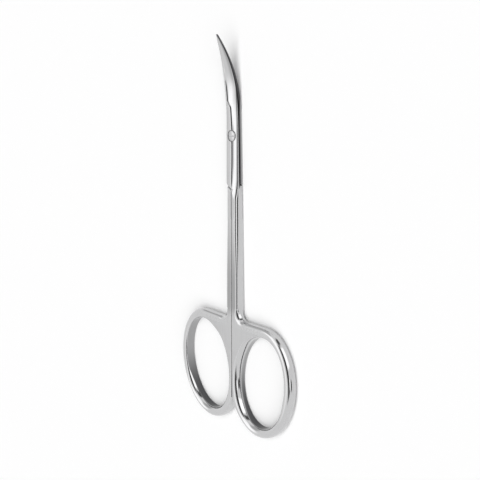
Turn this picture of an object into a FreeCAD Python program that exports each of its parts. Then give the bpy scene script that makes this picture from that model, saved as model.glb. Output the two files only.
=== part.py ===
import FreeCAD, Part
import math
import os

# Cuticle scissors: two forged steel halves, crossed at a lap joint, and the slotted shoulder screw that
# joins them. Millimetres. They lie closed on their backs: +Z is up out of the front face, +Y runs to the
# tips, +X is to the right, and the origin is where the pivot axis meets the plane that they lie on.

# Thickness, the same for both halves
joint_thickness = 2.3
ring_thickness = 3.2
lap_gap = 0.06
midline_gap = 0.16

# Lap joint and shank, seen from the front
lap_half_width = 2.3
lap_taper_start = 2.0
lap_foot = 13.8
shoulder_drop = 1.4
shoulder_gap = 0.3
shank_width = 2.55
neck_reach = 6.5
neck_half_width = 2.15

# Finger ring: an oval hole that leans outwards at the top, and the band round it, cut flat at the midline
ring_top_reach = 51.85
hole_width = 21.0
hole_length = 27.1
hole_shift = 0.3
band_side = 3.0
band_end = 2.7
midline_cut = 0.89
ring_lean_deg = 16.5

# Web between the shank and the finger ring
web_rise = 3.25
web_radius = 3.4
web_inset = 0.3

# Rounded and broken edges
ring_rounding = 1.1
rounding_limit_share = 0.42
edge_rounding = 0.4
midline_chamfer = 0.12

# Blades, curved up towards the front
tip_reach = 27.5
curve_start = 6.0
curve_radius = 46.0
spine_thickness = 1.05
spine_bevel_width = 0.6
spine_bevel_drop = 0.25
root_edge_thickness = 0.7
edge_thickness = 0.12
tip_width = 0.16
tip_thickness = 0.3
root_lap = 1.5
station_shares = (0.0, 0.18, 0.36, 0.54, 0.7, 0.85, 1.0)
taper_power = 2.6
edge_power = 4.0

# Ground flat on the outer face of each lap, on the side of the cutting edge
grind_ridge = 0.3
grind_depth = 0.22
grind_tilt_deg = 5.0
grind_run = 6.8
grind_top_drop = 1.4

# Pivot screw
head_diameter = 3.0
head_height = 0.6
head_proud = 0.05
head_bevel = 0.1
slot_width = 0.5
slot_depth = 0.3
body_diameter = 2.0
thread_diameter = 1.6
running_clearance = 0.04
head_clearance = 0.06
thread_clearance = 0.02

# How far a cutting shape runs past what it cuts, how near two places count as one, and how often a search
# for an angle halves its range
overrun = 4.0
same_place = 0.001
halvings = 40

lean = math.radians(ring_lean_deg)
ring_top_dir = FreeCAD.Vector(math.sin(lean), math.cos(lean), 0)
ring_left_dir = FreeCAD.Vector(-math.cos(lean), math.sin(lean), 0)
ring_width = hole_width + 2 * band_side
ring_length = hole_length + 2 * band_end
half_across = math.hypot(ring_length * math.sin(lean), ring_width * math.cos(lean)) / 2
half_along = math.hypot(ring_length * math.cos(lean), ring_width * math.sin(lean)) / 2
ring_offset = half_across - midline_cut
ring_reach = ring_top_reach + half_along
web_start = ring_top_reach - web_rise
shoulder_foot = lap_foot + shoulder_drop
part_reach = ring_reach + ring_length
parting_height = joint_thickness / 2
midline = midline_gap / 2
front_slope = (ring_thickness - joint_thickness) / ring_reach


def at(x, y, z=0.0):
    """A point of the part."""
    return FreeCAD.Vector(x, y, z)


def line(start, end):
    """A straight edge."""
    return Part.LineSegment(start, end).toShape()


def front_height(y):
    """Height of the front face, one plane that rises a little towards the rings."""
    return joint_thickness - front_slope * y


def mating_rise(reach):
    """How far the blades' mating surface has curved up at a distance from the pivot axis."""
    past = max(0.0, reach - curve_start)
    return curve_radius - math.sqrt(curve_radius ** 2 - past ** 2)


def prism(edges, bottom, top):
    """The solid over a closed outline, between two heights."""
    face = Part.Face(Part.Wire(edges))
    face.translate(at(0, 0, bottom))
    return face.extrude(at(0, 0, top - bottom))


def polygon(points):
    """The edges of a closed outline with straight sides."""
    return [line(a, b) for a, b in zip(points, points[1:] + points[:1])]


def under_front():
    """All the space from below the part up to the plane of the front face."""
    back, ahead = -part_reach, tip_reach + overrun
    side = ring_offset + ring_width
    points = [
        at(-side, back, -overrun),
        at(-side, ahead, -overrun),
        at(-side, ahead, front_height(ahead)),
        at(-side, back, front_height(back)),
    ]
    return Part.Face(Part.Wire(polygon(points))).extrude(at(2 * side, 0, 0))


def oval(centre, length, width):
    """The oval of a finger ring, a curve from its upper end that goes round by the midline side."""
    return Part.Ellipse(centre + ring_top_dir * (length / 2), centre + ring_left_dir * (width / 2), centre)


def tangent_arc(start, direction, end):
    """An arc that leaves start along a direction and ends at end."""
    chord = end - start
    turn = direction.getAngle(chord)
    normal = (chord - direction * chord.dot(direction)).normalize()
    radius = chord.Length / (2 * math.sin(turn))
    centre = start + normal * radius
    middle = centre + ((start + end) * 0.5 - centre).normalize() * radius
    return Part.Arc(start, middle, end).toShape()


def mid_oval():
    """The middle line of the ring's band."""
    centre = at(ring_offset + hole_shift / 2, -ring_reach)
    return oval(centre, (ring_length + hole_length) / 2, (ring_width + hole_width) / 2)


def web_touch(arc_centre):
    """The web's upper edge, a line that touches both the ring, a little inside its rim, and the web's arc.
    Returns its angle round the ring's oval, the point there, and the point on the arc."""
    rim = oval(at(ring_offset, -ring_reach), ring_length - 2 * web_inset, ring_width - 2 * web_inset)
    below, above = -math.pi / 4, math.pi / 2
    for _ in range(halvings):
        angle = (below + above) / 2
        along = rim.tangent(angle)[0]
        upward = at(along.y, -along.x)
        if (arc_centre - rim.value(angle)).dot(upward) < web_radius:
            below = angle
        else:
            above = angle
    return angle, rim.value(angle), arc_centre - upward * web_radius


def side_edges(sign):
    """The lap's long side on one side of the pivot, from foot to neck: a line and a tangent arc."""
    slope = (shank_width - lap_half_width) / (web_start - lap_taper_start)
    foot = lap_foot - shoulder_gap
    low = at(sign * (lap_half_width + slope * (foot - lap_taper_start)), -foot)
    bend = at(sign * lap_half_width, -lap_taper_start)
    neck = at(sign * neck_half_width, neck_reach)
    return line(low, bend), tangent_arc(bend, (bend - low).normalize(), neck)


def plate_outline():
    """Outline of the right half without its ring: lap, shank and web. Returns all its edges, the ones along
    the outside, and the one along the midline."""
    ring_line = mid_oval()
    tilt = math.atan2(ring_line.MinorRadius * math.cos(lean), -ring_line.MajorRadius * math.sin(lean))
    low = ring_line.value(tilt)
    arc_centre = at(shank_width + web_radius, -web_start)
    web_end, high, arc_end = web_touch(arc_centre)
    arc_start = at(shank_width, -web_start)
    outward = ((arc_start + arc_end) * 0.5 - arc_centre).normalize()
    arc = Part.Arc(arc_end, arc_centre + outward * web_radius, arc_start).toShape()
    left_line, left_arc = side_edges(-1)
    right_arc = side_edges(1)[1]
    shank_side = line(arc_start, right_arc.Vertexes[0].Point)
    shoulder = at(midline, shoulder_gap - shoulder_foot)
    outside = [line(high, arc_end), arc, shank_side, right_arc]
    inside = [ring_line.toShape(web_end, tilt), line(ring_line.value(web_end), high)]
    lap_left = [left_arc, left_line]
    neck = line(right_arc.Vertexes[1].Point, left_arc.Vertexes[1].Point)
    middle = line(shoulder, at(midline, low.y))
    foot = line(left_line.Vertexes[0].Point, shoulder)
    edges = outside + [neck] + lap_left + [foot, middle, line(at(midline, low.y), low)] + inside
    return edges, outside + lap_left, [middle]


def edges_over(solid, outline):
    """The edges of a solid's front and back faces that lie over the given edges of its outline."""
    found = []
    for edge in solid.Edges:
        p = edge.valueAt((edge.FirstParameter + edge.LastParameter) / 2)
        on_face = abs(p.z) < same_place or abs(p.z - front_height(p.y)) < same_place
        spot = Part.Vertex(at(p.x, p.y))
        if on_face and any(piece.distToShape(spot)[0] < same_place for piece in outline):
            found.append(edge)
    return found


def finger_ring():
    """The right finger ring: an oval band with its four edges well rounded, cut flat at the midline."""
    centre = at(ring_offset, -ring_reach)
    outer = Part.Face(Part.Wire(oval(centre, ring_length, ring_width).toShape()))
    hole = Part.Face(Part.Wire(oval(centre + at(hole_shift, 0), hole_length, hole_width).toShape()))
    band = outer.cut(hole).extrude(at(0, 0, ring_thickness + overrun)).common(under_front())
    rims = [edge for edge in band.Edges if len(edge.Vertexes) == 1]
    thinnest = min(band_side, band_end, ring_thickness)
    band = band.makeFillet(min(ring_rounding, rounding_limit_share * thinnest), rims)
    keep = Part.makeBox(part_reach, part_reach, part_reach, at(midline, -part_reach, -overrun))
    return band.common(keep)


def half_blank():
    """The right half at its full thickness, before its lap is halved and its blade is added."""
    edges, outside, middle = plate_outline()
    plate = prism(edges, 0, ring_thickness + overrun).common(under_front())
    plate = plate.makeFillet(edge_rounding, edges_over(plate, outside))
    plate = plate.makeChamfer(midline_chamfer, edges_over(plate, middle))
    return plate.fuse(finger_ring()).removeSplitter()


def beyond_shoulder(sign, bottom, top):
    """The space above the sloping shoulder that ends the other half's lap, between two heights."""
    side = lap_half_width + overrun
    rise = (shoulder_foot - lap_foot) * side / lap_half_width
    points = [
        at(-sign * side, -shoulder_foot),
        at(0, -shoulder_foot),
        at(sign * side, rise - shoulder_foot),
        at(sign * side, tip_reach + overrun),
        at(-sign * side, tip_reach + overrun),
    ]
    return prism(polygon(points), bottom, top)


def mating_side(height, far):
    """All the space on one side of the mating surface, which is flat round the pivot and curves up beyond it.
    The surface stands at the given height at the pivot, and the space reaches to the height far."""
    end = tip_reach + overrun
    middle = (curve_start + end) / 2
    flat, curved = at(curve_start, 0, height), at(end, 0, height + mating_rise(end))
    arc = Part.Arc(flat, at(middle, 0, height + mating_rise(middle)), curved).toShape()
    corners = [curved, at(end, 0, far), at(0, 0, far), at(0, 0, height), flat]
    profile = Part.Wire([arc] + [line(a, b) for a, b in zip(corners, corners[1:])])
    return Part.Face(profile).revolve(at(0, 0, 0), at(0, 0, 1), 360)


def blade_station(share, spine, layer):
    """One cross-section of a blade. It is thick at its spine and thin at its cutting edge, and runs past the
    mating surface, which trims it later. spine is the spine's side, and layer is 1 in front and -1 behind."""
    y = neck_reach - root_lap + (tip_reach - neck_reach + root_lap) * share
    taper = 1 - share ** taper_power
    half = tip_width / 2 + (neck_half_width - tip_width / 2) * taper
    thick = tip_thickness + (spine_thickness - tip_thickness) * taper
    edge = edge_thickness + (root_edge_thickness - edge_thickness) * (1 - share) ** edge_power
    slim = half / neck_half_width
    base = parting_height + mating_rise(y)
    corners = [
        at(spine * half, y, base - layer * thick),
        at(spine * half, y, base + layer * (thick - spine_bevel_drop * slim)),
        at(spine * (half - spine_bevel_width * slim), y, base + layer * thick),
        at(-spine * half, y, base + layer * edge),
        at(-spine * half, y, base - layer * thick),
    ]
    return Part.Wire(polygon(corners))


def other_side(sign, height, far):
    """All the space on the other half's side of the mating surface, which lies at a height round the pivot.
    It is flat from the shoulder to the pivot. Beyond, it curves up as a surface of revolution about the pivot
    axis, so the blades stay clear of each other as they open."""
    ahead = Part.makeBox(2 * part_reach, part_reach, 2 * part_reach, at(-part_reach, 0, -part_reach))
    flat = beyond_shoulder(sign, min(height, far), max(height, far)).cut(ahead)
    return [flat, mating_side(height, far).common(ahead)]


def blade(spine, layer):
    """A blade, from inside the neck to the tip."""
    return Part.makeLoft([blade_station(share, spine, layer) for share in station_shares], True, False)


def grind(layer):
    """What the grinder takes off the outer face of a lap, from the neck down to where it runs out on the
    shank's side. layer is 1 on the front half and -1 on the back half."""
    right = lap_half_width + overrun
    run_out = grind_run / (shank_width - grind_ridge)
    points = [
        at(right, -lap_foot - run_out * right),
        at(0, -lap_foot),
        at(0, neck_reach - grind_top_drop),
        at(-grind_top_drop - neck_half_width, neck_reach + neck_half_width),
        at(right, neck_reach + neck_half_width),
    ]
    block = prism(polygon(points), -grind_depth, overrun)
    block.rotate(at(0, 0, -grind_depth), at(0, 1, 0), grind_tilt_deg)
    block.translate(at(grind_ridge, 0, parting_height))
    if layer < 0:
        block.rotate(at(0, 0, 0), at(0, 1, 0), 180)
    block.translate(at(0, 0, parting_height))
    return block


def pin_hole(radius, bottom, top):
    """A round hole or pin on the pivot axis."""
    return Part.makeCylinder(radius, top - bottom, at(0, 0, bottom))


head_top = joint_thickness + head_proud
head_seat = head_top - head_height
back_lap_top = parting_height - lap_gap / 2
front_lap_bottom = parting_height + lap_gap / 2


def make_front_half():
    """The half with the right ring: its lap and blade lie in front, and its blade's spine is on the left."""
    half = half_blank().cut(grind(1)).fuse(blade(-1, 1)).removeSplitter()
    half = half.cut(other_side(1, front_lap_bottom, -overrun))
    half = half.cut(pin_hole(body_diameter / 2 + running_clearance, 0, joint_thickness + overrun))
    seat = head_seat - running_clearance
    return half.cut(pin_hole(head_diameter / 2 + head_clearance, seat, joint_thickness + overrun))


def make_back_half():
    """The half with the left ring: its lap and blade lie behind, and its blade's spine is on the right."""
    half = half_blank().mirror(at(0, 0, 0), at(1, 0, 0))
    half = half.cut(grind(-1)).fuse(blade(1, -1)).removeSplitter()
    half = half.cut(other_side(-1, back_lap_top, tip_reach))
    return half.cut(pin_hole(thread_diameter / 2 + thread_clearance, -overrun, joint_thickness))


def make_pivot_screw():
    """A slotted shoulder screw: its body turns in the front half, and its thread is fast in the back half."""
    head = pin_hole(head_diameter / 2, head_seat, head_top)
    rim = [edge for edge in head.Edges if abs(edge.CenterOfMass.z - head_top) < same_place]
    head = head.makeChamfer(head_bevel, rim)
    corner = at(-head_diameter / 2, -slot_width / 2, head_top - slot_depth)
    slot = Part.makeBox(head_diameter, slot_width, slot_depth, corner)
    body = pin_hole(body_diameter / 2, back_lap_top, head_seat)
    thread = pin_hole(thread_diameter / 2, 0, back_lap_top)
    return head.cut(slot).fuse([body, thread]).removeSplitter()


makers = {
    "front_half": make_front_half,
    "back_half": make_back_half,
    "pivot_screw": make_pivot_screw,
}

os.makedirs("parts", exist_ok=True)
for node, make in makers.items():
    shape = make()
    print(node, "solids", len(shape.Solids), "valid", shape.isValid(), "volume", round(shape.Volume, 2))
    shape.exportStep("parts/" + node + ".step")
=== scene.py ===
import math

import bmesh
import bpy
import numpy as np
from mathutils import Matrix, Vector
from mathutils.geometry import tessellate_polygon


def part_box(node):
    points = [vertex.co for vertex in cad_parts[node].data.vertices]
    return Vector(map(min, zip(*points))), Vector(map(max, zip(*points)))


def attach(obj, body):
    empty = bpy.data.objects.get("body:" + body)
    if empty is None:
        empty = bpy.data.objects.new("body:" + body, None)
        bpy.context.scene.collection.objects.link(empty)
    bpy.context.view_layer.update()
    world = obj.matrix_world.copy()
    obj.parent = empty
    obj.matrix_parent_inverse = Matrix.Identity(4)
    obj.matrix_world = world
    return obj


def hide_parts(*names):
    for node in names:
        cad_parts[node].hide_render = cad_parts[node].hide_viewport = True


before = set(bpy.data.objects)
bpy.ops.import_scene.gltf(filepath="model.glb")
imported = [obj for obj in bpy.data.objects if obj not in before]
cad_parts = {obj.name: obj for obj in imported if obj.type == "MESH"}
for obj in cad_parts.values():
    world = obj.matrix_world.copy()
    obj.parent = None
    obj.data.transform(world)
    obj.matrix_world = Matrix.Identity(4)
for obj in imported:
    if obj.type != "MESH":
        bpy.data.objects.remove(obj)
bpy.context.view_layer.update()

bl_info = {
    "name": "Cuticle Scissors",
    "version": (1, 0, 0),
    "blender": (4, 5, 0),
    "location": "View3D > Sidebar > Scissors",
    "description": "Builds polished cuticle scissors round a packed frame, and the studio that shows them",
    "category": "Add Mesh",
}

MM = 0.001
FRONT_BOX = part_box("front_half")
SCREW_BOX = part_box("pivot_screw")
FRAME_PIXELS = 480
SENSOR_WIDTH = 36
CLIP_START = 10 * MM
BLACK = (0, 0, 0, 1)

# How finely the halves are divided, and how the rows along them are spaced
ROUND_STEPS = 8
TURNED_STEPS = 96
SHANK_POINTS = 60
ARC_POINTS = 40
RING_POINTS = 500
MIDLINE_POINTS = 120
OUTLINE_POINTS = 640
HOLE_POINTS = 320
SEARCH_POINTS = 4001
STATION_MARGIN = 1 * MM
SEAM_RUN = 3.5 * MM
TIP_RUN = 4 * MM

# Where forms run into each other along Y, and where the satin does, along and across
SWELL_IN_RUN = (2 * MM, 10 * MM)
SWELL_OUT_RUN = (13 * MM, 22 * MM)
BLADE_RUN = (4 * MM, 9 * MM)
HOLLOW_OUT_RUN = (12 * MM, 20 * MM)
THINNING_RUN = (5 * MM, 17 * MM)
FINE_RUN = (5 * MM, 14 * MM)
SPINE_RUN = (6 * MM, 12 * MM)
NARROW_RUN = (0, 5 * MM)
LEAN_RUN = (0, 9 * MM)
LOW_LEAN_RUN = (6 * MM, 13 * MM)
LEVEL_RISE = 1 * MM
LEVEL_END = -7 * MM
SHOULDER_RUN = 2 * MM
SLANT_LEAD = 0.5 * MM
SEAM_DROP = 8 * MM
HEEL_RUN = 8 * MM
SPLIT_RUN = 9 * MM
# How far below the ring's centre the split between the shanks gets painted shade
SPLIT_DARK = 8 * MM
SATIN_OUT = (13 * MM, 20 * MM)
SATIN_TOP = (-62 * MM, -57 * MM)
SATIN_BESIDE = (4 * MM, 9 * MM)
SATIN_LOW = (-74 * MM, -64 * MM)

# Distances below which points, edges or places count as one, and how far cutters overrun
MERGE_DISTANCE = 0.0005 * MM
FLAT_DISTANCE = 0.0002 * MM
SAME_PLACE = 0.0001 * MM
NEAR = 0.001 * MM
OVERRUN = 1 * MM

# Shading: edges sharper than the angle stay sharp, and larger faces lead the normals by the weight
SHARP_ANGLE = math.radians(34)
NORMAL_WEIGHT = 60

# Largest corners, as shares of the width, of other corners, of the thickness and of the side
SHANK_CORNER = 0.42
BLADE_CORNER = 0.3
PARTING_CORNER = 1.5
THICKNESS_CORNER = 0.75
SIDE_CORNER = 0.3

# Lesser sizes and shares of the edge, the ridge, the blade, the foot, the ring and the screw
BEVEL_SHARE = 0.65
FINE_SHARE = 0.9
LEAST_SIDE = 0.02 * MM
LOW_LEAN = 0.25
BAND_TRIM = 0.006 * MM
TAPER_LEAD = 1.5 * MM
TAPER_POWER = 2.6
EDGE_SLOPE = 0.25
ROOT_EDGE = 0.74 * MM
FOOT_UNDER = 0.49 * MM
SPLIT_END = 0.5 * MM
GRIND_RISE = 2.5 * MM
DOME_MIDDLE = 0.02 * MM
HEEL_SWELL = 0.9 * MM
RIM_WIDTH = 0.3 * MM

# Turns round the ring: over which its rounding changes past the web and before the split, then to the
# roundest and deepest part of the hole's edge, and to the part where its painted shade is least
WEB_TURN = math.radians(50)
SPLIT_TURN = math.radians(40)
ROUND_TURN = math.radians(155)
DEEP_TURN = math.radians(95)
LEAST_SHADE_TURN = math.radians(10)

# How much shade is painted on faces, as shares, and how polished the inner faces are
LAP_SIDE_SHADE = 0.25
GROUND_SHADE = 0.5
EDGE_SHADE = 0.9
HOLE_TOP_SHADE = 0.45
INNER_POLISH = 0.1


def maker(make=bpy.props.FloatProperty, scale=1, **settings):
    """A function that makes one kind of property from its description and its value in handy units."""

    def prop(description, value):
        default = [scale * part for part in value] if "size" in settings else scale * value
        return make(description=description, default=default, **settings)

    return prop


length = maker(scale=MM, subtype="DISTANCE", unit="LENGTH", precision=5)
pair = maker(bpy.props.FloatVectorProperty, MM, size=2, unit="LENGTH", precision=5)
angle = maker(scale=math.radians(1), subtype="ANGLE", unit="ROTATION")
share = maker(min=0, max=1, subtype="FACTOR")
amount = maker()
colour = maker(bpy.props.FloatVectorProperty, size=3, min=0, max=1, subtype="COLOR")


def named(group):
    """Gives each property of a group its key as its name, in words."""
    for key, value in group.__annotations__.items():
        value.keywords["name"] = key.replace("_", " ").capitalize()
    return group


@named
class ScissorSizes(bpy.types.PropertyGroup):
    """Sizes of the two forged halves"""

    joint_thickness: length("Both laps together at the pivot", 2.3)
    ring_thickness: length("Finger ring at its middle", 3.2)
    lap_gap: length("Between the two laps", 0.06)
    midline_gap: length("Between the two shanks", 0.16)
    lap_half_width: length("From the pivot to the lap's side", 2.3)
    lap_taper_start: length("Below the pivot, where the sides widen", 2)
    lap_foot: length("Below the pivot, where the lap ends outside", 13.8)
    shoulder_drop: length("Drop of the shoulder to the midline", 1.4)
    shoulder_gap: length("Between a lap's foot and the shoulder below it", 0.3)
    shank_width: length("From the midline to the side at the web", 2.55)
    neck_reach: length("Above the pivot, where the blade starts", 6.5)
    neck_half_width: length("Half the width at the blade's root", 2.15)
    ring_top: length("Below the pivot, where the ring's top is", 51.85)
    hole_width: length("Finger hole across", 21)
    hole_length: length("Finger hole along", 27.1)
    hole_shift: length("From the ring's centre outwards", 0.3)
    band_side: length("Width of the ring's band at its sides", 3)
    band_end: length("Width of the ring's band at its ends", 2.7)
    midline_cut: length("Cut off the ring's oval at the midline", 0.89)
    ring_lean: angle("Outward lean of the ring's top", 16.5)
    web_rise: length("From the ring's top to the web's start", 3.25)
    web_radius: length("Hollow curve between the shank and the web", 3.4)
    curve_start: length("Above the pivot, where the blades start to bend", 6)
    curve_radius: length("Radius of the blades' bend", 46)
    blade_swell: length("Extra width on the spine's side", 0.2)
    spine_thickness: length("Blade at its root", 1.08)
    edge_thickness: length("Blade at its cutting edge", 0.12)
    tip_width: length("Blade at its tip", 0.16)
    tip_thickness: length("Blade at its tip", 0.3)


@named
class ScissorEdges(bpy.types.PropertyGroup):
    """Rounded edges, and the face that the grinder leaves"""

    hole: pair("Rounding of the finger hole's edge beside the midline", (1.5, 2.5))
    hole_back: length("Edge of the hole at the back", 0.35)
    hole_crisp: length("Edge of the hole high on the outer side", 0.5)
    ring: pair("Rounding of the ring's band", (1.31, 1.55))
    web: pair("Rounding of the web's upper edge", (1.05, 1.155))
    shank: pair("Rounding of the shank's outer corners in front", (0.85, 1.9))
    shank_back: pair("Rounding of the shank's outer corners behind", (0.35, 0.35))
    heel: pair("Rounding of the shank's outer corners at the web", (0.65, 0.6))
    bevel_round: length("From the lap's ground face to its side", 1.3)
    foot_round: length("Outer corner of the lap's foot", 0.5)
    midline_round: length("Corners along the split between the shanks", 0.15)
    lap_round: length("Outer corners of the lap", 0.32)
    parting: pair("Corners beside the line where the laps part", (1.1, 0.2))
    shoulder_hollow: length("Hollow curve at the foot of the shoulder", 0.35)
    shoulder_round: length("Rounded top of the shoulder", 0.45)
    ridge_place: length("From the pivot to the edge of the raised flat", 0.16)
    ridge_lean: length("Lean of that edge towards the neck", 0.55)
    ridge_width: length("Width of the step down from the raised flat", 0.34)
    grind_depth: length("Ground face below the raised flat", 0.25)
    grind_drop: length("Further fall of that face to the side", 0.16)
    grind_run: length("Below the lap's foot, where that face ends", 4.4)
    spoon_start: length("Above the pivot, where the flat slants off", 7.4)
    spoon_slant: length("Length of that slanting end", 2.6)
    spine: pair("Rounding of the blade's spine beside the other blade", (0.6, 0.85))


@named
class ScrewSizes(bpy.types.PropertyGroup):
    """Pivot screw, and the holes that it fits"""

    head_height: length("From the seat to the top", 0.6)
    head_clearance: length("Round the head", 0.06)
    seat_clearance: length("Under the head", 0.04)
    body_radius: length("Plain body that the front half turns on", 1)
    body_clearance: length("Round the body", 0.04)
    end_radius: length("Thin end in the back half", 0.8)
    end_clearance: length("Round the thin end", 0.02)
    slot_width: length("Slot across the head", 0.5)
    slot_depth: length("Slot from the top", 0.3)
    dome_drop: length("Fall of the domed head to its rim", 0.14)
    dome_rim: length("Width of the rounded rim of the head", 0.12)


@named
class ScissorFinish(bpy.types.PropertyGroup):
    """Colours, roughness and grain of the steel, and its painted shade"""

    polished: colour("Colour of the polished rings and ground faces", (0.57, 0.57, 0.575))
    satin: colour("Colour of the satin flats", (0.5, 0.5, 0.504))
    # Painted shade: a near-black colour painted where dark reflections and shade fall, not a finish of the
    # steel
    dull: colour("Colour of the faces that no wheel reaches", (0.09, 0.09, 0.093))
    turned: colour("Colour of the screw", (0.54, 0.54, 0.545))
    polished_rough: share("Roughness of the polished steel", 0.1)
    satin_rough: share("Roughness of the satin flats", 0.33)
    turned_rough: share("Roughness of the screw", 0.2)
    grain_width: length("Width of the belt's lines along the flats", 0.22)
    grain_length: length("Length of those lines", 9)
    grain_depth: length("Depth of those lines", 0.0012)
    scratch_size: length("Size of the buffing marks on the polished steel", 0.5)
    cloud_size: length("Size of the cloudy patches on the polished steel", 25 / 3)
    turning_pitch: length("Distance between the turned lines on the screw", 0.07)
    # Painted shade: the satin of the lower shanks is painted darker to copy how light falls there
    shade: share("Darker satin on the lower shanks", 0.34)
    shade_in: pair("Along the shanks, where the satin turns darker", (-22, -43))
    shade_out: pair("Along the shanks, where it turns lighter again", (-52, -48))


@named
class StudioLook(bpy.types.PropertyGroup):
    """Camera, floor and lamps"""

    view_turn: angle("Camera's turn towards +X from above", 54.277)
    view_rise: angle("Camera's turn towards the tips", 10.171)
    view_roll: angle("Camera's roll", -0.701)
    view_distance: length("From the camera to what it looks at", 287.995)
    view_side: length("Place that the camera looks at, across", 2.1065)
    view_along: length("Place that the camera looks at, along", -29.0472)
    pixels_per_metre: amount("Pixels to a metre at the place looked at", 3570.6)
    floor: colour("Colour of the pale floor", (0.95, 0.95, 0.95))
    floor_size: length("From the middle of the floor to its edge", 6000)
    sky: amount("Level of the tent as metal shows it", 1)
    sky_fill: amount("Level of the tent as it lights the floor", 0.3)
    key_level: amount("Level of the key lamp on the floor", 0.745)
    key_turn: angle("Where the key lamp is, round Z from +X", 350)
    key_rise: angle("Height of the key lamp above the floor", 58)
    key_spread: angle("How wide the key lamp looks", 90)


def ease(value, low, high):
    """0 up to low, 1 from high on, and the smooth step 3t^2 - 2t^3 between."""
    t = np.clip((value - low) / (high - low), 0, 1)
    return t * t * (3 - 2 * t)


def mix(first, second, t):
    """first at t 0, second at t 1, and straight between."""
    return first + (second - first) * t


def spread(knots, counts):
    """Values from the first knot to the last, with that many even steps between neighbouring knots."""
    runs = [np.linspace(a, b, n, endpoint=False) for a, b, n in zip(knots, knots[1:], counts)]
    return np.concatenate(runs + [knots[-1:]])


class HalfPlan:
    """The lines of one half in its own frame: x towards its ring, y to the tip, h outwards from the plane
    between the laps. layer is 1 in front and -1 behind, where the half is turned half round Y."""

    def __init__(self, scene, layer):
        self.sizes = scene.scissor_sizes
        self.edges = scene.scissor_edges
        self.layer = layer
        sizes, edges = self.sizes, self.edges
        self.parting = sizes.joint_thickness / 2
        self.midline = sizes.midline_gap / 2
        self.tip = FRONT_BOX[1].y
        self.shoulder = -sizes.lap_foot - sizes.shoulder_drop
        self.seam = self.shoulder - SEAM_DROP
        self.foot_low = self.shoulder + sizes.shoulder_gap
        self.foot_high = -sizes.lap_foot + sizes.shoulder_gap + edges.foot_round
        self.run_out = -sizes.lap_foot - edges.grind_run
        self.outer_corner, self.inner_corner = (edges.shank, edges.shank_back)[::layer]
        self.half_width = sizes.hole_width / 2 + sizes.band_side
        self.half_length = sizes.hole_length / 2 + sizes.band_end - BAND_TRIM
        lean_sin, lean_cos = math.sin(sizes.ring_lean), math.cos(sizes.ring_lean)
        self.up = np.array([lean_sin, lean_cos])
        self.inside = np.array([-lean_cos, lean_sin])
        across = math.hypot(self.half_length * lean_sin, self.half_width * lean_cos)
        along = math.hypot(self.half_length * lean_cos, self.half_width * lean_sin)
        self.ring_centre = np.array([across - sizes.midline_cut, -sizes.ring_top - along])
        self.web_start = sizes.ring_top - sizes.web_rise
        self.slope = (sizes.ring_thickness - sizes.joint_thickness) / -self.ring_centre[1]
        self.taper = (sizes.shank_width - sizes.lap_half_width) / (self.web_start - sizes.lap_taper_start)

    def outer(self, y):
        """Height of the plain outer face, which in front rises a little towards the rings."""
        return self.parting - (self.slope * y if self.layer > 0 else 0 * y)

    def inner(self, y):
        """Height of the shank's inner face."""
        return -self.parting + (self.slope * y if self.layer < 0 else 0 * y)

    def bend(self, reach):
        """How far the blades have curved outwards at a distance from the pivot axis, on an arc."""
        radius = self.sizes.curve_radius
        past = np.maximum(0, reach - self.sizes.curve_start)
        return self.layer * (radius - np.sqrt(radius ** 2 - past ** 2))

    def taper_share(self, y):
        """1 at the blade's root and 0 at its tip, as 1 less a power of the way along."""
        root = self.sizes.neck_reach - TAPER_LEAD
        return 1 - np.clip((y - root) / (self.tip - root), 0, 1) ** TAPER_POWER

    def side(self, y):
        """Half the width from the shank up to the tip: a line, a parabola to the neck, and the blade."""
        sizes = self.sizes
        shank = sizes.lap_half_width + self.taper * (-sizes.lap_taper_start - y)
        bow = np.clip((y + sizes.lap_taper_start) / (sizes.neck_reach + sizes.lap_taper_start), 0, 1)
        lap = sizes.lap_half_width - (sizes.lap_half_width - sizes.neck_half_width) * bow ** 2
        blade = mix(sizes.tip_width / 2, sizes.neck_half_width, self.taper_share(y))
        return np.where(y < -sizes.lap_taper_start, shank, np.where(y < sizes.neck_reach, lap, blade))

    def side_room(self, y, edge_height):
        """Height of the lap's and the blade's side below its edge."""
        return np.maximum(edge_height - self.bend(y) - self.sizes.lap_gap / 2, LEAST_SIDE)

    def left(self, y):
        """The side away from the ring: the midline, a quarter sine over the lap's slanting foot, then the
        other side turned over, a little fuller on the blade."""
        swell = ease(y, *SWELL_IN_RUN) * (1 - ease(y, *SWELL_OUT_RUN))
        full = -self.side(y) - self.sizes.blade_swell * swell
        foot = np.clip((y - self.foot_low) / (self.foot_high - self.foot_low), 0, 1)
        return mix(self.midline, full, np.sin(foot * math.pi / 2))


# Inset and drop of a rounded edge from the side to the face: 1 - cos and 1 - sin of a quarter turn
QUARTER = np.linspace(0, math.pi / 2, ROUND_STEPS + 1)
INSET_SHARES = 1 - np.cos(QUARTER)
DROP_SHARES = 1 - np.sin(QUARTER)

# Where the columns across the raised flat, the step, the ground face and the inner face lie, as shares
FLAT_SHARES = np.linspace(0, 1, 4)[1:-1]
STEP_SHARES = np.linspace(0, 1, 9)
GROUND_SHARES = STEP_SHARES[1:-1]
INNER_SHARES = np.linspace(0, 1, 8)[1:-1]
FLAT_COLUMNS = slice(len(INSET_SHARES) - 1, len(INSET_SHARES) + len(FLAT_SHARES) + 1)


def rounded(edge, inset, face, drop):
    """Columns of a rounded edge from the side to the face, for rows of edges, insets, faces and drops."""
    return edge + inset * INSET_SHARES, face - drop * DROP_SHARES


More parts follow.
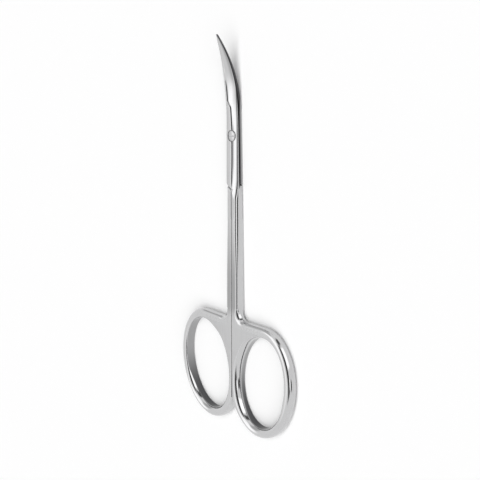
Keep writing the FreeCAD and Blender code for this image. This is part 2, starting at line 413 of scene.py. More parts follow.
class Patch:
    """Points of a surface with how polished they are and how much shade is painted on them, and its faces."""

    def __init__(self):
        self.rows = []
        self.faces = []
        self.count = 0

    def add(self, points, polish, dull):
        """Adds rows of points, and returns the number of each in the shape of the rows."""
        shape = points.shape[:-1]
        self.rows.append(np.dstack([points, polish, dull]).reshape(-1, 5))
        numbers = self.count + np.arange(np.prod(shape)).reshape(shape)
        self.count += numbers.size
        return numbers

    def grid(self, numbers, closed=False):
        """Faces between neighbouring rows and columns of numbers, round to the first column if closed."""
        if closed:
            numbers = np.concatenate([numbers, numbers[:, :1]], 1)
        quads = [numbers[:-1, :-1], numbers[1:, :-1], numbers[1:, 1:], numbers[:-1, 1:]]
        self.faces.extend(np.stack(quads, -1).reshape(-1, 4).tolist())

    def fill(self, *loops):
        """Triangles over a flat outline and the holes in it, each a row of numbered points."""
        flat = np.concatenate(self.rows)[:, :3] * (1, 1, 0)
        numbers = np.concatenate(loops)
        triangles = tessellate_polygon([flat[loop].tolist() for loop in loops])
        self.faces.extend(numbers[np.array(triangles)].tolist())


def upper_stations(plan):
    """Rows from the shank to the tip, close together where the shape turns quickly, and the number of the
    first on the lap. The shoulder's top and foot are quarter circles."""
    edges = plan.edges
    turn = np.linspace(0, math.pi / 2, 7)
    top = plan.shoulder - edges.shoulder_round * (1 - np.sin(turn))
    hollow = plan.shoulder + edges.shoulder_hollow * (1 - np.cos(turn))
    below = spread([plan.seam, plan.seam + SEAM_RUN, top[0]], [6, 16])[:-1]
    spoon_end = edges.spoon_start + edges.spoon_slant
    knots = [hollow[-1], plan.foot_high + plan.sizes.shoulder_gap, -plan.sizes.lap_taper_start]
    knots += [edges.spoon_start - STATION_MARGIN, spoon_end + STATION_MARGIN, plan.tip - TIP_RUN, plan.tip]
    above = spread(np.array(knots), [28, 30, 28, 36, 46, 36])[1:]
    return np.concatenate([below, top, hollow, above])[:, None], len(below) + len(top)


def sides(plan, y):
    """Both sides of the rows, the largest corner between them, and how fine corners get along the edge."""
    left, right = plan.left(y), plan.side(y)
    room = mix(SHANK_CORNER, BLADE_CORNER, ease(y, *NARROW_RUN)) * (right - left)
    return left, right, room, 1 - FINE_SHARE * ease(y, *FINE_RUN)


def upper_outer(plan, y, spoon):
    """Points across the outer face. Its raised flat runs from the plain face to the blade's thickness above
    the bend, and its edge's side from a fall below the flat to the edge's thickness. The ground face steps
    down beside the flat's ridge, 0.6 of the depth straight and 0.4 smooth, and runs straight to the side."""
    sizes, edges = plan.sizes, plan.edges
    left, right, room, fine = sides(plan, y)
    taper, bend, blade = plan.taper_share(y), plan.bend(y), ease(y, *BLADE_RUN)
    thick = mix(sizes.tip_thickness, sizes.spine_thickness, taper)
    flat = mix(plan.outer(y), bend + thick, blade)
    ground = ease(y, plan.run_out, -sizes.lap_foot + GRIND_RISE)
    ground_depth = edges.grind_depth * ground * (1 - ease(y, *HOLLOW_OUT_RUN))
    edge = mix(sizes.edge_thickness, ROOT_EDGE, (1 - ease(y, *THINNING_RUN)) ** 1.5)
    edge = np.maximum(edge, thick - EDGE_SLOPE * (right - left))
    edge_height = mix(flat - ground_depth - edges.grind_drop * ground, bend + edge, blade)

    lapped = ease(y, plan.run_out, -sizes.lap_foot)
    inset, depth = plan.outer_corner
    out_left = np.minimum(np.where(y < plan.foot_low, edges.midline_round, edges.lap_round), room)
    out_right = np.minimum(mix(inset, edges.bevel_round, lapped) * fine, room)
    bevel = BEVEL_SHARE * plan.side_room(y, edge_height)
    fall_right = mix(depth, bevel, ease(y, plan.run_out, plan.shoulder))
    x_left, h_left = rounded(left, out_left, flat, out_left)
    x_right, h_right = rounded(right, -out_right, edge_height, fall_right)

    start, end = left + out_left, right - out_right
    lean = ease(y, *LEAN_RUN) + LOW_LEAN * ease(-y, *LOW_LEAN_RUN)
    ridge = mix(end - edges.ridge_width, edges.ridge_place - edges.ridge_lean * lean, lapped)
    ridge = mix(ridge, start + RIM_WIDTH * taper, spoon)
    ridge = np.clip(ridge, mix(start, end, 0.1), mix(start, end, 0.8))
    step = np.minimum(edges.ridge_width * taper, 0.5 * (end - ridge))
    x_flat = mix(start, ridge, FLAT_SHARES)
    x_step = ridge + step * STEP_SHARES
    h_step = flat - ground_depth * (0.6 * STEP_SHARES + 0.4 * ease(STEP_SHARES, 0, 1))
    x_ground = mix(x_step[:, -1:], end, GROUND_SHARES)
    h_ground = mix(h_step[:, -1:], edge_height, GROUND_SHARES)
    x = np.hstack([x_left, x_flat, x_step, x_ground, x_right[:, ::-1]])
    h = np.hstack([h_left, flat + 0 * x_flat, h_step, h_ground, h_right[:, ::-1]])
    return np.stack([x, y + 0 * x, h], -1), flat, edge_height


def upper_inner(plan, y, on_lap, flat, edge_height):
    """Points across the inner face: the shank's face, the shoulder's quarter circles, then the surface on the
    other half, bent by its distance from the pivot axis. Rows slant beside the shoulder."""
    sizes, edges = plan.sizes, plan.edges
    left, right, room, fine = sides(plan, y)
    spine = ease(y, *SPINE_RUN)
    above_foot = ease(y, plan.foot_low, plan.foot_high)
    (part_inset, part_rise), (spine_inset, spine_rise) = edges.parting, edges.spine
    lap_inset = mix(mix(FOOT_UNDER, part_inset, above_foot), spine_inset, spine)
    lap_rise = mix(mix(FOOT_UNDER, part_rise, above_foot), spine_rise, spine)
    in_left = np.minimum(np.where(on_lap, lap_inset, edges.midline_round), PARTING_CORNER * room)
    thickness = np.where(on_lap, flat - plan.bend(y), flat * 2)
    rise_left = np.minimum(np.where(on_lap, lap_rise, edges.midline_round), THICKNESS_CORNER * thickness)
    inset, depth = plan.inner_corner
    past = y - plan.shoulder
    lap_inset = mix(inset, part_inset, ease(past, 0, SHOULDER_RUN))
    in_right = np.minimum(np.where(on_lap, lap_inset, inset) * fine, room)
    lap_rise = np.minimum(part_rise * fine, SIDE_CORNER * plan.side_room(y, edge_height))
    x_right, drop_right = rounded(right, -in_right, 0, np.where(on_lap, lap_rise, depth))
    x_left, drop_left = rounded(left, in_left, 0, rise_left)
    x_face = mix(x_right[:, -1:], x_left[:, -1:], INNER_SHARES)
    x = np.hstack([x_right, x_face, x_left[:, ::-1]])
    drop = np.hstack([drop_right, 0 * x_face, drop_left[:, ::-1]])

    top, foot = edges.shoulder_round, edges.shoulder_hollow
    risen = plan.inner(y) + top - np.sqrt(top ** 2 - np.clip(past + top, 0, top) ** 2)
    hollow = foot - np.sqrt(foot ** 2 - (foot - np.clip(past, 0, foot)) ** 2)
    base = np.where(on_lap, sizes.lap_gap / 2 - hollow, risen)
    slanted = ease(y, plan.seam + STATION_MARGIN, plan.shoulder - SLANT_LEAD)
    level = ease(y, plan.shoulder + LEVEL_RISE, LEVEL_END)
    slant = sizes.shoulder_drop / sizes.lap_half_width * slanted * (1 - level)
    slanting = y + slant * np.maximum(x, 0)
    bent = np.where(on_lap & (slanting > 0), plan.bend(np.hypot(x, slanting)), 0)
    return np.stack([x, slanting, base + bent - drop], -1)


def upper_painted_shade(y, on_lap):
    """How much painted shade each column gets, for dark reflections and shade: most in the split and in the
    corners where the laps part, less on the lap's side and the blade's edge."""
    spine = ease(y, *SPINE_RUN)
    wall = 1 - ease(INSET_SHARES, 0, 0.5)
    outer_left = np.where(on_lap, LAP_SIDE_SHADE, 1) * wall
    bright = np.zeros((len(y), len(FLAT_SHARES) + len(STEP_SHARES)))
    ground = GROUND_SHADE * spine * ease(GROUND_SHARES, 0.45, 1)
    edge = spine * mix(EDGE_SHADE, GROUND_SHADE, ease(INSET_SHARES, 0.4, 0.9))
    corner = on_lap * (1 - ease(INSET_SHARES, 0.8, 1))
    face = np.zeros((len(y), len(INNER_SHARES)))
    inner_left = np.where(on_lap, corner, wall)
    return np.hstack([outer_left, bright, ground, edge[:, ::-1], corner, face, inner_left[:, ::-1]])


def upper_half(plan, patch):
    """Shank top, lap and blade in closed rows along Y: the outer face towards the edge, then the inner face
    back. Returns the numbers of the first row's outer and inner points."""
    y, wall = upper_stations(plan)
    on_lap = np.arange(len(y))[:, None] >= wall
    spoon = ease(y, plan.edges.spoon_start, plan.edges.spoon_start + plan.edges.spoon_slant)
    outer, flat, edge_height = upper_outer(plan, y, spoon)
    inner = upper_inner(plan, y, on_lap, flat, edge_height)
    polish = np.hstack([np.ones(outer.shape[:2]), np.full(inner.shape[:2], INNER_POLISH)])
    polish[:, FLAT_COLUMNS] = spoon
    numbers = patch.add(np.hstack([outer, inner]), polish, upper_painted_shade(y, on_lap))
    patch.grid(numbers, closed=True)
    patch.faces.append(numbers[-1].tolist())
    return np.split(numbers[0], [outer.shape[1]])


def oval(plan, turn, half_length, half_width, centre):
    """Points round a leaning oval, centre + length cos t + width sin t, from its upper end by the midline."""
    along, across = half_length * np.cos(turn)[:, None], half_width * np.sin(turn)[:, None]
    return centre + along * plan.up + across * plan.inside


def beside_path(points):
    """Unit directions to the right of a path of points: its steps, turned by a quarter."""
    along = np.gradient(points, axis=0)
    along /= np.linalg.norm(along, axis=1)[:, None]
    return np.stack([along[:, 1], -along[:, 0]], 1)


def web_touch(plan, arc_centre):
    """The turn round the ring where a line touches both its oval and the web's arc, read off a fine row as
    the one at the arc's radius from the arc's centre, and the direction away from that line."""
    turn = np.linspace(-math.pi / 4, math.pi / 6, SEARCH_POINTS)
    points = oval(plan, turn, plan.half_length, plan.half_width, plan.ring_centre)
    upward = beside_path(points)
    reach = np.sum((arc_centre - points) * upward, 1)
    at = np.interp(plan.sizes.web_radius, reach, turn)
    return at, np.array([np.interp(at, turn, upward[:, 0]), np.interp(at, turn, upward[:, 1])])


def lower_path(plan):
    """The outline below the seam, by the web's arc and round the ring to the midline and up: evenly spaced
    rows of x, y, and the inset and depth of the rounding in front and behind."""
    sizes, edges = plan.sizes, plan.edges
    arc_centre = np.array([sizes.shank_width + sizes.web_radius, -plan.web_start])
    touch, upward = web_touch(plan, arc_centre)
    crossing = np.linspace(math.pi / 2, math.pi, SEARCH_POINTS)
    under = oval(plan, crossing, plan.half_length, plan.half_width, plan.ring_centre)
    last = np.interp(plan.midline, under[:, 0], crossing) - 2 * math.pi

    heel, web = np.array(edges.heel), np.array(edges.web)
    y = np.linspace(plan.seam, -plan.web_start, SHANK_POINTS)
    low = ease(-y, -plan.seam, plan.web_start - HEEL_RUN)[:, None]
    front, behind = mix(np.array(edges.shank), heel, low), mix(np.array(edges.shank_back), heel, low)
    shank = np.column_stack([plan.side(y), y, front, behind])

    way = np.linspace(0, 1, ARC_POINTS)[:, None]
    turn = mix(math.pi, 2 * math.pi + math.atan2(-upward[1], -upward[0]), way)
    points = arc_centre + sizes.web_radius * np.hstack([np.cos(turn), np.sin(turn)])
    corner = mix(heel, web, way) + HEEL_SWELL * np.sin(math.pi * way)
    arc = np.column_stack([points, corner, corner])

    turn = np.linspace(touch, last, RING_POINTS)
    points = oval(plan, turn, plan.half_length, plan.half_width, plan.ring_centre)
    past_web = ease(touch - turn, 0, WEB_TURN)[:, None]
    before_split = ease(turn, last, last + SPLIT_TURN)[:, None]
    corner = mix(SPLIT_END, mix(web, np.array(edges.ring), past_web), before_split)
    ring = np.column_stack([points, corner, corner])

    y = np.linspace(ring[-1, 1], plan.seam, MIDLINE_POINTS)
    size = mix(SPLIT_END, edges.midline_round, ease(y, y[0], y[0] + SPLIT_RUN))
    split = np.column_stack([0 * y + plan.midline, y, size, size, size, size])

    rows = np.concatenate([shank, arc, ring, split])
    gaps = np.linalg.norm(np.diff(rows[:, :2], axis=0), axis=1)
    rows = rows[np.concatenate([[True], gaps > SAME_PLACE])]
    reach = np.concatenate([[0], np.cumsum(np.linalg.norm(np.diff(rows[:, :2], axis=0), axis=1))])
    even = np.linspace(0, reach[-1], OUTLINE_POINTS)
    return np.stack([np.interp(even, reach, column) for column in rows.T], 1)


def satin_zone(x, y):
    """1 on the shank and the web, fading to 0 along the top of the ring and down beside the midline."""
    top = ease(y, *SATIN_TOP) * (1 - ease(x, *SATIN_OUT))
    beside = ease(y, *SATIN_LOW) * (1 - ease(x, *SATIN_BESIDE))
    return np.maximum(top, beside)


def strip(plan, patch, rows, inward, painted_wall_shade):
    """A band round an outline: rounded outer edge, side and rounded inner edge, carried along rows as in
    lower_path. Satin reaches over the last quarter of a rounding, and the last argument is the shade painted
    on its side. Returns its numbers, outer face first."""
    edges = (rows[:, 2:4], rows[:, 4:6])[::plan.layer]
    faces = []
    for edge, height, sign in zip(edges, (plan.outer, plan.inner), (-1, 1)):
        x = rows[:, :1] + inward[:, :1] * edge[:, :1] * INSET_SHARES
        y = rows[:, 1:2] + inward[:, 1:] * edge[:, :1] * INSET_SHARES
        faces.append(np.stack([x, y, height(y) + sign * edge[:, 1:] * DROP_SHARES], -1))
    points = np.concatenate([faces[0][:, ::-1], faces[1]], 1)
    near_face = ease(INSET_SHARES, 0.75, 1)
    satin = satin_zone(points[..., 0], points[..., 1])
    polish = 1 - satin * np.concatenate([near_face[::-1], near_face])
    # Painted shade on the band's side, fading out over its roundings
    wall = painted_wall_shade * (1 - ease(INSET_SHARES, 0.01, 0.08))
    return patch.add(points, polish, np.hstack([wall[:, ::-1], wall]))


def hole_band(plan, patch):
    """The rounded band round the oval finger hole. Its front edge is rounder and deeper by the cosine of the
    turn from the roundest and the deepest place."""
    sizes, edges = plan.sizes, plan.edges
    turn = np.linspace(0, 2 * math.pi, HOLE_POINTS, endpoint=False)
    centre = plan.ring_centre + np.array([sizes.hole_shift, 0])
    points = oval(plan, turn, sizes.hole_length / 2, sizes.hole_width / 2, centre)
    outward = beside_path(np.concatenate([points[-1:], points, points[:1]]))[1:-1]
    inset, depth = edges.hole
    size = mix(edges.hole_crisp, inset, ease(np.cos(turn - ROUND_TURN), -0.5, 0.05))
    deeper = (depth - inset) * ease(np.cos(turn - DEEP_TURN), 0.1, 0.8)
    behind = np.full((HOLE_POINTS, 2), edges.hole_back)
    rows = np.column_stack([points, size, size + deeper, behind])
    # Painted shade on the hole's wall: least near the top, most towards the lower outer side
    low = ease(-np.cos(turn - LEAST_SHADE_TURN), -0.3, 0.7)
    band = strip(plan, patch, rows, outward, mix(HOLE_TOP_SHADE, 1, low)[:, None])
    patch.grid(np.concatenate([band, band[:1]]))
    return band


def lower_half(plan, patch, outer_row, inner_row):
    """Shank, web and ring: bands along the outline and round the hole, and flat faces between them that also
    take in the first rows of the upper part."""
    rows = lower_path(plan)
    inward = beside_path(rows[:, :2])
    inward[0], inward[-1] = (-1, 0), (1, 0)
    # Painted shade along the split between the shanks, from below the ring's centre upwards
    split_low = plan.ring_centre[1] - SPLIT_DARK
    in_split = (rows[:, :1] < plan.midline + NEAR) & (rows[:, 1:2] > split_low)
    outline = strip(plan, patch, rows, inward, in_split)
    patch.grid(outline)
    band = hole_band(plan, patch)
    corner = len(INSET_SHARES)
    patch.fill(np.concatenate([outline[:, 0], outer_row[corner:-corner]]), band[:, 0])
    patch.fill(np.concatenate([outline[:, -1], inner_row[corner:-corner][::-1]]), band[:, -1])


def make_object(name, points, faces, **marks):
    """A mesh object at the origin with its doubles merged, its faces turned outwards and its marks kept."""
    mesh = bpy.data.meshes.new(name)
    mesh.from_pydata(points.tolist(), [], faces)
    for mark, values in marks.items():
        layer = mesh.attributes.new(mark, "FLOAT", "POINT")
        layer.data.foreach_set("value", np.asarray(values, np.float32))
    work = bmesh.new()
    work.from_mesh(mesh)
    bmesh.ops.remove_doubles(work, verts=work.verts, dist=MERGE_DISTANCE)
    bmesh.ops.dissolve_degenerate(work, edges=work.edges, dist=FLAT_DISTANCE)
    bmesh.ops.recalc_face_normals(work, faces=work.faces)
    work.to_mesh(mesh)
    work.free()
    piece = bpy.data.objects.new(name, mesh)
    bpy.context.scene.collection.objects.link(piece)
    return piece


def turned(profile):
    """A closed shape turned on the pivot axis: rows of radius and height, carried round by cos and sin."""
    turn = np.linspace(0, 2 * math.pi, TURNED_STEPS, endpoint=False)
    radius, height = profile[:, :1], profile[:, 1:]
    points = np.stack([radius * np.cos(turn), radius * np.sin(turn), height + 0 * turn], -1)
    numbers = np.arange(points.size // 3).reshape(len(profile), TURNED_STEPS)
    ahead = np.roll(numbers, -1, 1)
    sides = np.stack([numbers[:-1], ahead[:-1], ahead[1:], numbers[1:]], -1).reshape(-1, 4).tolist()
    return points.reshape(-1, 3), sides + [numbers[0, ::-1].tolist(), numbers[-1].tolist()]


def slot_block(reach, half_width, low, high):
    """A block across the pivot axis, with corners at plus and minus its reach and half width."""
    around = np.array([[-1, -1], [1, -1], [1, 1], [-1, 1]]) * (reach, half_width)
    points = np.concatenate([np.column_stack([around, np.full(4, height)]) for height in (low, high)])
    sides = [[0, 1, 5, 4], [1, 2, 6, 5], [2, 3, 7, 6], [3, 0, 4, 7]]
    return points, sides + [[3, 2, 1, 0], [4, 5, 6, 7]]


def cut(piece, points, faces):
    """Takes a closed shape out of a piece, and leaves the cut mesh with no modifier."""
    cutter = make_object("cutter", points, faces, polish=np.ones(len(points)), dull=np.ones(len(points)))
    carve = piece.modifiers.new("carve", "BOOLEAN")
    carve.operation = "DIFFERENCE"
    carve.solver = "EXACT"
    carve.object = cutter
    bpy.context.view_layer.update()
    mesh = bpy.data.meshes.new_from_object(piece.evaluated_get(bpy.context.evaluated_depsgraph_get()))
    piece.modifiers.clear()
    old = piece.data
    piece.data = mesh
    bpy.data.meshes.remove(old)
    bpy.data.objects.remove(cutter)


def bore(piece, radius, low):
    """Takes a round hole on the pivot axis out of a piece, from a height upwards."""
    cut(piece, *turned(np.array([[radius, low], [radius, SCREW_BOX[1].z + OVERRUN]])))


def make_half(name, layer):
    """One forged half, built in its own frame and turned to its place."""
    plan = HalfPlan(bpy.context.scene, layer)
    patch = Patch()
    outer_row, inner_row = upper_half(plan, patch)
    lower_half(plan, patch, outer_row, inner_row)
    x, y, h, polish, dull = np.concatenate(patch.rows).T
    points = np.column_stack([layer * x, y, plan.parting + layer * h])
    return make_object(name, points, patch.faces, polish=polish, dull=dull)


def finish(piece, material):
    """Smooth shading with sharp edges, normals that lean to the larger faces, and the steel."""
    mesh = piece.data
    mesh.polygons.foreach_set("use_smooth", np.ones(len(mesh.polygons), bool))
    mesh.set_sharp_from_angle(angle=SHARP_ANGLE)
    even = piece.modifiers.new("even_normals", "WEIGHTED_NORMAL")
    even.keep_sharp = True
    even.weight = NORMAL_WEIGHT
    mesh.materials.clear()
    mesh.materials.append(material)


class Wire:
    """A shader socket that takes part in sums, which make Math nodes. node() makes any other node."""

    def __init__(self, tree, socket=None):
        self.tree = tree
        self.socket = socket

    def node(self, kind, output, settings=None, **inputs):
        """One output of a new node of a kind, with its settings and inputs."""
        made = self.tree.nodes.new(kind)
        for name, value in (settings or {}).items():
            setattr(made, name, value)
        for name, value in inputs.items():
            place = made.inputs[int(name[1:]) if name[1:].isdigit() else name]
            if isinstance(value, Wire):
                self.tree.links.new(value.socket, place)
            else:
                place.default_value = value
        return Wire(self.tree, made.outputs[output])

    def maths(self, operation, *values):
        """A Math node with this operation."""
        inputs = {f"i{n}": value for n, value in enumerate(values)}
        return self.node("ShaderNodeMath", 0, {"operation": operation}, **inputs)

    def vector(self, operation, output, **inputs):
        """A Vector Math node that takes this wire first."""
        return self.node("ShaderNodeVectorMath", output, {"operation": operation}, i0=self, **inputs)

    def dot(self, axis):
        """How far this direction points along an axis."""
        return self.vector("DOT_PRODUCT", "Value", i1=tuple(axis))

    def stretch(self, factors):
        """This place with each of its three numbers multiplied."""
        return self.vector("MULTIPLY", 0, i1=tuple(factors))

    def noise(self, scale, detail):
        """Smooth noise from 0 to 1 at this place."""
        return self.node("ShaderNodeTexNoise", 0, Vector=self, Scale=scale, Detail=detail)

    def fade(self, low, high):
        """0 at low, 1 at high, smooth between."""
        settings = {"interpolation_type": "SMOOTHSTEP"}
        return self.node("ShaderNodeMapRange", 0, settings, i0=self, i1=low, i2=high)

    def blend(self, first, second):
        """first where this is 0, second where it is 1. Both are colours."""
        return self.node("ShaderNodeMix", 2, {"data_type": "RGBA"}, i0=self, i6=first, i7=second)

    def tint(self, tone):
        """Black where this is 0, the colour where it is 1."""
        return self.blend(BLACK, (*tone, 1))

    def join(self, shader, name):
        """Leads this wire into one of the shader's sockets."""
        self.tree.links.new(self.socket, shader.inputs[name])

    def __add__(self, other):
        return self.maths("ADD", self, other)

    def __radd__(self, other):
        return self.maths("ADD", other, self)

    def __sub__(self, other):
        return self.maths("SUBTRACT", self, other)

    def __rsub__(self, other):
        return self.maths("SUBTRACT", other, self)

    def __mul__(self, other):
        return self.maths("MULTIPLY", self, other)

    def __rmul__(self, other):
        return self.maths("MULTIPLY", other, self)

    def __truediv__(self, other):
        return self.maths("DIVIDE", self, other)

    def __rtruediv__(self, other):
        return self.maths("DIVIDE", other, self)


def metal(name):
    """A new metal, its shader, a starting wire and the place on the piece."""
    material = bpy.data.materials.new(name)
    material.use_nodes = True
    shader = material.node_tree.nodes["Principled BSDF"]
    shader.inputs["Metallic"].default_value = 1
    start = Wire(material.node_tree)
    return material, shader, start, start.node("ShaderNodeTexCoord", "Object")


def forged_steel():
    """Stainless steel: by the polish attribute, satin with fine belt lines and painted shade on the lower
    shanks, or polished with faint buffing marks. A second attribute paints near-black shade over both, where
    dark reflections and shade fall."""
    made = bpy.data.materials.get("satin_and_polished_steel")
    if made:
        return made
    look = bpy.context.scene.scissor_finish
    material, shader, start, place = metal("satin_and_polished_steel")
    polish = start.node("ShaderNodeAttribute", "Fac", {"attribute_name": "polish"})
    dull = start.node("ShaderNodeAttribute", "Fac", {"attribute_name": "dull"})
    across, along = 1 / look.grain_width, 1 / look.grain_length
    lines = place.stretch((across, along, across)).noise(1, 3)
    finer = place.stretch((4 * across, 2 * along, 4 * across)).noise(1, 2)
    grain = 0.6 * lines + 0.4 * finer
    marks = place.noise(1 / look.scratch_size, 4)
    cloud = place.noise(1 / look.cloud_size, 2)
    # Painted shade: the satin darkens along the lower shanks
    along_y = place.dot((0, 1, 0))
    shaded = along_y.fade(*look.shade_in) * along_y.fade(*look.shade_out)
    satin = (0.76 + 0.44 * grain) * (1 - look.shade * shaded)
    polished = 0.95 + 0.1 * cloud
    steel = polish.blend(satin.tint(look.satin), polished.tint(look.polished))
    # Painted shade: the base colour turns near-black by the second attribute
    dull.blend(steel, (*look.dull, 1)).join(shader, "Base Color")
    satin_rough = look.satin_rough + 0.18 * (grain - 0.5)
    polished_rough = look.polished_rough + 0.03 * (marks - 1) + 0.05 * cloud
    (satin_rough + polish * (polished_rough - satin_rough)).join(shader, "Roughness")
    height = grain * (1 - polish) + 0.12 * marks * polish
    bump = start.node("ShaderNodeBump", 0, Height=height, Distance=look.grain_depth, Strength=1)
    bump.join(shader, "Normal")
    return material


def screw_steel():
    """Turned steel: rings that are the sine of the distance from the axis, and a little cloudiness."""
    look = bpy.context.scene.scissor_finish
    material, shader, start, place = metal("turned_steel")
    reach = place.stretch((1, 1, 0)).vector("LENGTH", "Value")
    rings = start.maths("SINE", reach * (2 * math.pi / look.turning_pitch))
    cloud = place.noise(2 / look.scratch_size, 3)
    (0.9 + 0.06 * rings + 0.1 * cloud).tint(look.turned).join(shader, "Base Color")
    (look.turned_rough + 0.05 * rings + 0.06 * cloud).join(shader, "Roughness")
    bump = start.node("ShaderNodeBump", 0, Height=rings, Distance=look.grain_depth, Strength=0.6)
    bump.join(shader, "Normal")
    return material


class SCISSORS_OT_front_half(bpy.types.Operator):
    """Makes the half with the right ring, whose lap lies in front"""

    bl_idname = "scissors.front_half"
    bl_label = "Front Half"

    def execute(self, context):
        screw = context.scene.screw_sizes
        piece = make_half("scissors_front_half", 1)
        seat = SCREW_BOX[1].z - screw.head_height - screw.seat_clearance
        bore(piece, SCREW_BOX[1].x + screw.head_clearance, seat)
        bore(piece, screw.body_radius + screw.body_clearance, 0)
        finish(piece, forged_steel())
        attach(piece, "front")
        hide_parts("front_half")
        return {"FINISHED"}


class SCISSORS_OT_back_half(bpy.types.Operator):
    """Makes the half with the left ring, whose lap lies behind"""

    bl_idname = "scissors.back_half"
    bl_label = "Back Half"

    def execute(self, context):
        screw = context.scene.screw_sizes
        piece = make_half("scissors_back_half", -1)
        bore(piece, screw.end_radius + screw.end_clearance, -OVERRUN)
        finish(piece, forged_steel())
        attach(piece, "back")
        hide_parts("back_half")
        return {"FINISHED"}


class SCISSORS_OT_pivot_screw(bpy.types.Operator):
    """Makes the slotted screw that the front half turns on"""

    bl_idname = "scissors.pivot_screw"
    bl_label = "Pivot Screw"

    def execute(self, context):
        screw = context.scene.screw_sizes
        head, top = SCREW_BOX[1].x, SCREW_BOX[1].z
        seat = top - screw.head_height
        lap = context.scene.scissor_sizes.joint_thickness / 2
        # The head falls as the square of the distance from the axis, and its rim is a quarter circle
        reach = np.linspace(DOME_MIDDLE, head - screw.dome_rim, 24)
        dome = np.column_stack([reach, top - screw.dome_drop * (reach / reach[-1]) ** 2])
        rim_inset, rim_drop = screw.dome_rim * INSET_SHARES, screw.dome_rim * DROP_SHARES
        rim = np.column_stack([head - rim_inset, dome[-1, 1] - rim_drop])
        end, body = screw.end_radius, screw.body_radius
        stem = np.array([[end, 0], [end, lap], [body, lap], [body, seat], [head, seat]])
        piece = make_object("scissors_pivot_screw", *turned(np.concatenate([stem, rim, dome[-2::-1]])))
        cut(piece, *slot_block(2 * head, screw.slot_width / 2, top - screw.slot_depth, top + OVERRUN))
        finish(piece, screw_steel())
        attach(piece, "back")
        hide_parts("pivot_screw")
        return {"FINISHED"}


def towards(turn, rise):
    """The direction at a turn round Z from +X and a rise above the floor."""
    return Vector((math.cos(rise) * math.cos(turn), math.cos(rise) * math.sin(turn), math.sin(rise)))


# Panels of the tent, in degrees: turn and rise of the middle, half the width and height, and how soft the
# upright and the level edges are, then the panel's level
PANELS = {
    "dark wall": (135, 18, 16, 26, 12, 12, 0.6),
    "dark top": (16, 67, 36, 21, 8, 8, 0.08),
    "upper softbox": (152, 60, 22, 10, 5, 5, 1.6),
    "left softbox": (182, 51, 17, 9, 26, 9, 1.75),
    "gap": (82, 18, 9, 26, 6, 6, 0.12),
    "right softbox": (42, 20, 21, 26, 4, 4, 1.8),
    "dark horizon": (349, 8, 9, 15, 6, 6, 0.12),
    "side softbox": (349, 34, 8, 9, 5, 6, 1.6),
}


def in_panel(view, turn, rise, half_width, half_height, soft_sides, soft_ends):
    """1 for directions in a panel, a rectangle far off: those that point ahead, and whose tangents across and
    up from its middle are small enough."""
    middle = towards(math.radians(turn), math.radians(rise))
    across = Vector((0, 0, 1)).cross(middle).normalized()
    ahead = view.dot(middle)
    depth = view.maths("MAXIMUM", ahead, 0.01)
    inside = ahead.fade(0, 0.1)
    upward = middle.cross(across)
    for axis, half, soft in ((across, half_width, soft_sides), (upward, half_height, soft_ends)):
        off = view.maths("ABSOLUTE", view.dot(axis) / depth)
        near, far = math.tan(math.radians(half - soft / 2)), math.tan(math.radians(half + soft / 2))
        inside = inside * off.fade(far, near)
    return inside


def paint_sky(look):
    """The tent: a plain level with lighter and darker panels for rays that see it, and one level of light."""
    world = bpy.data.worlds.new("tent")
    world.use_nodes = True
    shader = world.node_tree.nodes["Background"]
    start = Wire(world.node_tree)
    view = start.node("ShaderNodeTexCoord", "Generated")
    level = look.sky
    for *place, panel_level in PANELS.values():
        level = level + in_panel(view, *place) * (panel_level * look.sky - level)
    seen = start.node("ShaderNodeLightPath", "Is Camera Ray")
    rays = seen.socket.node.outputs
    for kind in ("Is Glossy Ray", "Is Transmission Ray"):
        seen = start.maths("MAXIMUM", seen, Wire(start.tree, rays[kind]))
    (look.sky_fill + seen * (level - look.sky_fill)).join(shader, "Strength")
    shader.inputs["Color"].default_value = (1, 1, 1, 1)
    return world


def make_floor(look):
    """A wide level square with no shine."""
    size = look.floor_size
    mesh = bpy.data.meshes.new("floor")
    corners = [(-size, -size, 0), (size, -size, 0), (size, size, 0), (-size, size, 0)]
    mesh.from_pydata(corners, [], [(0, 1, 2, 3)])
    material = bpy.data.materials.new("floor")
    material.use_nodes = True
    shader = material.node_tree.nodes["Principled BSDF"]
    shader.inputs["Base Color"].default_value = (*look.floor, 1)
    shader.inputs["Roughness"].default_value = 1
    shader.inputs["Specular IOR Level"].default_value = 0
    mesh.materials.append(material)
    return bpy.data.objects.new("floor", mesh)


def make_key(look):
    """The lamp that lights the floor, with the energy for its level there. Metal doesn't show it."""
    sun = bpy.data.lights.new("key", "SUN")
    sun.energy = look.key_level * math.pi / math.sin(look.key_rise)
    sun.angle = look.key_spread
    key = bpy.data.objects.new("key", sun)
    key.rotation_euler = towards(look.key_turn, look.key_rise).to_track_quat("Z", "Y").to_euler()
    key.visible_glossy = False
    return key


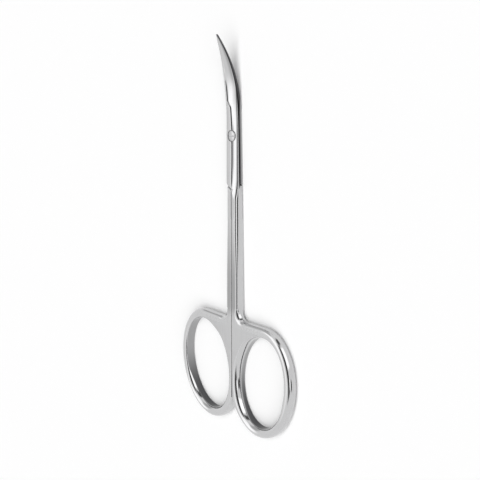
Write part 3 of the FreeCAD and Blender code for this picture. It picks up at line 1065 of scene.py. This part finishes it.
def make_camera(look, height):
    """A camera that looks at a place, turned towards +X, then towards the tips, then rolled."""
    turn, rise, roll = look.view_turn, look.view_rise, look.view_roll
    back = Vector((math.sin(turn) * math.cos(rise), math.sin(rise), math.cos(turn) * math.cos(rise)))
    right = Vector((0, 1, 0)).cross(back).normalized()
    up = back.cross(right)
    rolled_right = right * math.cos(roll) + up * math.sin(roll)
    rolled_up = up * math.cos(roll) - right * math.sin(roll)
    place = Matrix((rolled_right, rolled_up, back)).transposed().to_4x4()
    place.translation = Vector((look.view_side, look.view_along, height)) + back * look.view_distance
    lens = bpy.data.cameras.new("camera")
    lens.sensor_width = SENSOR_WIDTH
    lens.lens = look.pixels_per_metre * look.view_distance * SENSOR_WIDTH / FRAME_PIXELS
    lens.clip_start = CLIP_START
    camera = bpy.data.objects.new("camera", lens)
    camera.matrix_world = place
    return camera


class SCISSORS_OT_stage(bpy.types.Operator):
    """Sets up the floor, the lamp, the tent and the camera"""

    bl_idname = "scissors.stage"
    bl_label = "Stage"

    def execute(self, context):
        scene = context.scene
        look = scene.studio_look
        floor = make_floor(look)
        scene.collection.objects.link(floor)
        scene.world = paint_sky(look)
        scene.collection.objects.link(make_key(look))
        scene.camera = make_camera(look, scene.scissor_sizes.joint_thickness / 2)
        scene.collection.objects.link(scene.camera)
        scene.view_settings.view_transform = "Standard"
        return {"FINISHED"}


class SCISSORS_PT_panel(bpy.types.Panel):
    """Lists the pieces and every size and look"""

    bl_label = "Cuticle Scissors"
    bl_space_type = "VIEW_3D"
    bl_region_type = "UI"
    bl_category = "Scissors"

    def draw(self, context):
        for operator in PIECES:
            self.layout.operator(operator.bl_idname)
        for name, group in GROUPS.items():
            box = self.layout.box()
            box.label(text=group.__doc__)
            for value in group.__annotations__:
                box.prop(getattr(context.scene, name), value)


PIECES = (
    SCISSORS_OT_front_half,
    SCISSORS_OT_back_half,
    SCISSORS_OT_pivot_screw,
    SCISSORS_OT_stage,
)
GROUPS = {
    "scissor_sizes": ScissorSizes,
    "scissor_edges": ScissorEdges,
    "screw_sizes": ScrewSizes,
    "scissor_finish": ScissorFinish,
    "studio_look": StudioLook,
}


def register():
    for name, group in GROUPS.items():
        bpy.utils.register_class(group)
        setattr(bpy.types.Scene, name, bpy.props.PointerProperty(type=group))
    for kind in (*PIECES, SCISSORS_PT_panel):
        bpy.utils.register_class(kind)


def unregister():
    for kind in (SCISSORS_PT_panel, *reversed(PIECES)):
        bpy.utils.unregister_class(kind)
    for name, group in GROUPS.items():
        delattr(bpy.types.Scene, name)
        bpy.utils.unregister_class(group)


def main():
    register()
    bpy.ops.scissors.front_half()
    bpy.ops.scissors.back_half()
    bpy.ops.scissors.pivot_screw()
    bpy.ops.scissors.stage()


if __name__ == "__main__":
    main()
